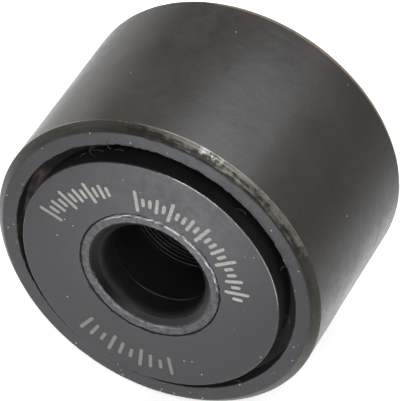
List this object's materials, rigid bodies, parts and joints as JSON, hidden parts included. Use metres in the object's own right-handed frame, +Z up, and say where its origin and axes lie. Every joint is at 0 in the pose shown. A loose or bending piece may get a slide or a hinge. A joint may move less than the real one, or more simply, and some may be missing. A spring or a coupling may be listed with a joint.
{
  "type": "yoke-type cam follower",
  "caption": "Yoke-type cam follower: a thick outer ring with a cylindrical tread turning on a full complement of needle rollers round a bored inner ring, with an end plate at each side.",
  "frame": {"origin": "centre of the bore, half way across the width", "axes": "+Y along the roller's axis, away from the marked front end; +Z up, towards the oil hole"},
  "size_m": [0.0254, 0.0174, 0.0254],
  "materials": {
    "outer_ring_steel": "black oxide over ground steel, satin",
    "inner_ring_steel": "black oxide rubbed thin on the ground end face",
    "end_plate_steel": "black oxide, smooth satin",
    "needle_steel": "ground and polished",
    "grease": "wet, amber brown"
  },
  "bodies": {
    "hub": {"inner_ring": "inner_ring_steel", "front_end_plate": "end_plate_steel", "rear_end_plate": "end_plate_steel"},
    "roller": {"outer_ring": "outer_ring_steel"},
    "complement": {"grease_fill": "grease"},
    "needle_01": {"needle_roller_01": "needle_steel"},
    "needle_02": {"needle_roller_02": "needle_steel"},
    "needle_03": {"needle_roller_03": "needle_steel"},
    "needle_04": {"needle_roller_04": "needle_steel"},
    "needle_05": {"needle_roller_05": "needle_steel"},
    "needle_06": {"needle_roller_06": "needle_steel"},
    "needle_07": {"needle_roller_07": "needle_steel"},
    "needle_08": {"needle_roller_08": "needle_steel"},
    "needle_09": {"needle_roller_09": "needle_steel"},
    "needle_10": {"needle_roller_10": "needle_steel"},
    "needle_11": {"needle_roller_11": "needle_steel"},
    "needle_12": {"needle_roller_12": "needle_steel"},
    "needle_13": {"needle_roller_13": "needle_steel"},
    "needle_14": {"needle_roller_14": "needle_steel"},
    "needle_15": {"needle_roller_15": "needle_steel"},
    "needle_16": {"needle_roller_16": "needle_steel"},
    "needle_17": {"needle_roller_17": "needle_steel"},
    "needle_18": {"needle_roller_18": "needle_steel"}
  },
  "joints": [
    {"name": "roller_spin", "type": "hinge", "parent": "hub", "child": "roller", "pos_m": [0, 0, 0], "axis": [0, 1, 0], "continuous": true},
    {"name": "complement_orbit", "type": "hinge", "parent": "hub", "child": "complement", "pos_m": [0, 0, 0], "axis": [0, 1, 0], "continuous": true},
    {"name": "needle_spin_01", "type": "hinge", "parent": "complement", "child": "needle_01", "pos_m": [0.00694, 0, 0], "axis": [0, 1, 0], "continuous": true},
    {"name": "needle_spin_02", "type": "hinge", "parent": "complement", "child": "needle_02", "pos_m": [0.00653, 0, 0.00238], "axis": [0, 1, 0], "continuous": true},
    {"name": "needle_spin_03", "type": "hinge", "parent": "complement", "child": "needle_03", "pos_m": [0.00532, 0, 0.00446], "axis": [0, 1, 0], "continuous": true},
    {"name": "needle_spin_04", "type": "hinge", "parent": "complement", "child": "needle_04", "pos_m": [0.00347, 0, 0.00601], "axis": [0, 1, 0], "continuous": true},
    {"name": "needle_spin_05", "type": "hinge", "parent": "complement", "child": "needle_05", "pos_m": [0.00121, 0, 0.00684], "axis": [0, 1, 0], "continuous": true},
    {"name": "needle_spin_06", "type": "hinge", "parent": "complement", "child": "needle_06", "pos_m": [-0.00121, 0, 0.00684], "axis": [0, 1, 0], "continuous": true},
    {"name": "needle_spin_07", "type": "hinge", "parent": "complement", "child": "needle_07", "pos_m": [-0.00347, 0, 0.00601], "axis": [0, 1, 0], "continuous": true},
    {"name": "needle_spin_08", "type": "hinge", "parent": "complement", "child": "needle_08", "pos_m": [-0.00532, 0, 0.00446], "axis": [0, 1, 0], "continuous": true},
    {"name": "needle_spin_09", "type": "hinge", "parent": "complement", "child": "needle_09", "pos_m": [-0.00653, 0, 0.00238], "axis": [0, 1, 0], "continuous": true},
    {"name": "needle_spin_10", "type": "hinge", "parent": "complement", "child": "needle_10", "pos_m": [-0.00694, 0, 0], "axis": [0, 1, 0], "continuous": true},
    {"name": "needle_spin_11", "type": "hinge", "parent": "complement", "child": "needle_11", "pos_m": [-0.00653, 0, -0.00238], "axis": [0, 1, 0], "continuous": true},
    {"name": "needle_spin_12", "type": "hinge", "parent": "complement", "child": "needle_12", "pos_m": [-0.00532, 0, -0.00446], "axis": [0, 1, 0], "continuous": true},
    {"name": "needle_spin_13", "type": "hinge", "parent": "complement", "child": "needle_13", "pos_m": [-0.00347, 0, -0.00601], "axis": [0, 1, 0], "continuous": true},
    {"name": "needle_spin_14", "type": "hinge", "parent": "complement", "child": "needle_14", "pos_m": [-0.00121, 0, -0.00684], "axis": [0, 1, 0], "continuous": true},
    {"name": "needle_spin_15", "type": "hinge", "parent": "complement", "child": "needle_15", "pos_m": [0.00121, 0, -0.00684], "axis": [0, 1, 0], "continuous": true},
    {"name": "needle_spin_16", "type": "hinge", "parent": "complement", "child": "needle_16", "pos_m": [0.00347, 0, -0.00601], "axis": [0, 1, 0], "continuous": true},
    {"name": "needle_spin_17", "type": "hinge", "parent": "complement", "child": "needle_17", "pos_m": [0.00532, 0, -0.00446], "axis": [0, 1, 0], "continuous": true},
    {"name": "needle_spin_18", "type": "hinge", "parent": "complement", "child": "needle_18", "pos_m": [0.00653, 0, -0.00238], "axis": [0, 1, 0], "continuous": true}
  ],
  "couplings": [
    {"joint": "complement_orbit", "follows": "roller_spin", "ratio": 0.58675},
    {"joint": "needle_spin_01", "follows": "roller_spin", "ratio": 2.8302},
    {"joint": "needle_spin_02", "follows": "roller_spin", "ratio": 2.8302},
    {"joint": "needle_spin_03", "follows": "roller_spin", "ratio": 2.8302},
    {"joint": "needle_spin_04", "follows": "roller_spin", "ratio": 2.8302},
    {"joint": "needle_spin_05", "follows": "roller_spin", "ratio": 2.8302},
    {"joint": "needle_spin_06", "follows": "roller_spin", "ratio": 2.8302},
    {"joint": "needle_spin_07", "follows": "roller_spin", "ratio": 2.8302},
    {"joint": "needle_spin_08", "follows": "roller_spin", "ratio": 2.8302},
    {"joint": "needle_spin_09", "follows": "roller_spin", "ratio": 2.8302},
    {"joint": "needle_spin_10", "follows": "roller_spin", "ratio": 2.8302},
    {"joint": "needle_spin_11", "follows": "roller_spin", "ratio": 2.8302},
    {"joint": "needle_spin_12", "follows": "roller_spin", "ratio": 2.8302},
    {"joint": "needle_spin_13", "follows": "roller_spin", "ratio": 2.8302},
    {"joint": "needle_spin_14", "follows": "roller_spin", "ratio": 2.8302},
    {"joint": "needle_spin_15", "follows": "roller_spin", "ratio": 2.8302},
    {"joint": "needle_spin_16", "follows": "roller_spin", "ratio": 2.8302},
    {"joint": "needle_spin_17", "follows": "roller_spin", "ratio": 2.8302},
    {"joint": "needle_spin_18", "follows": "roller_spin", "ratio": 2.8302}
  ]
}
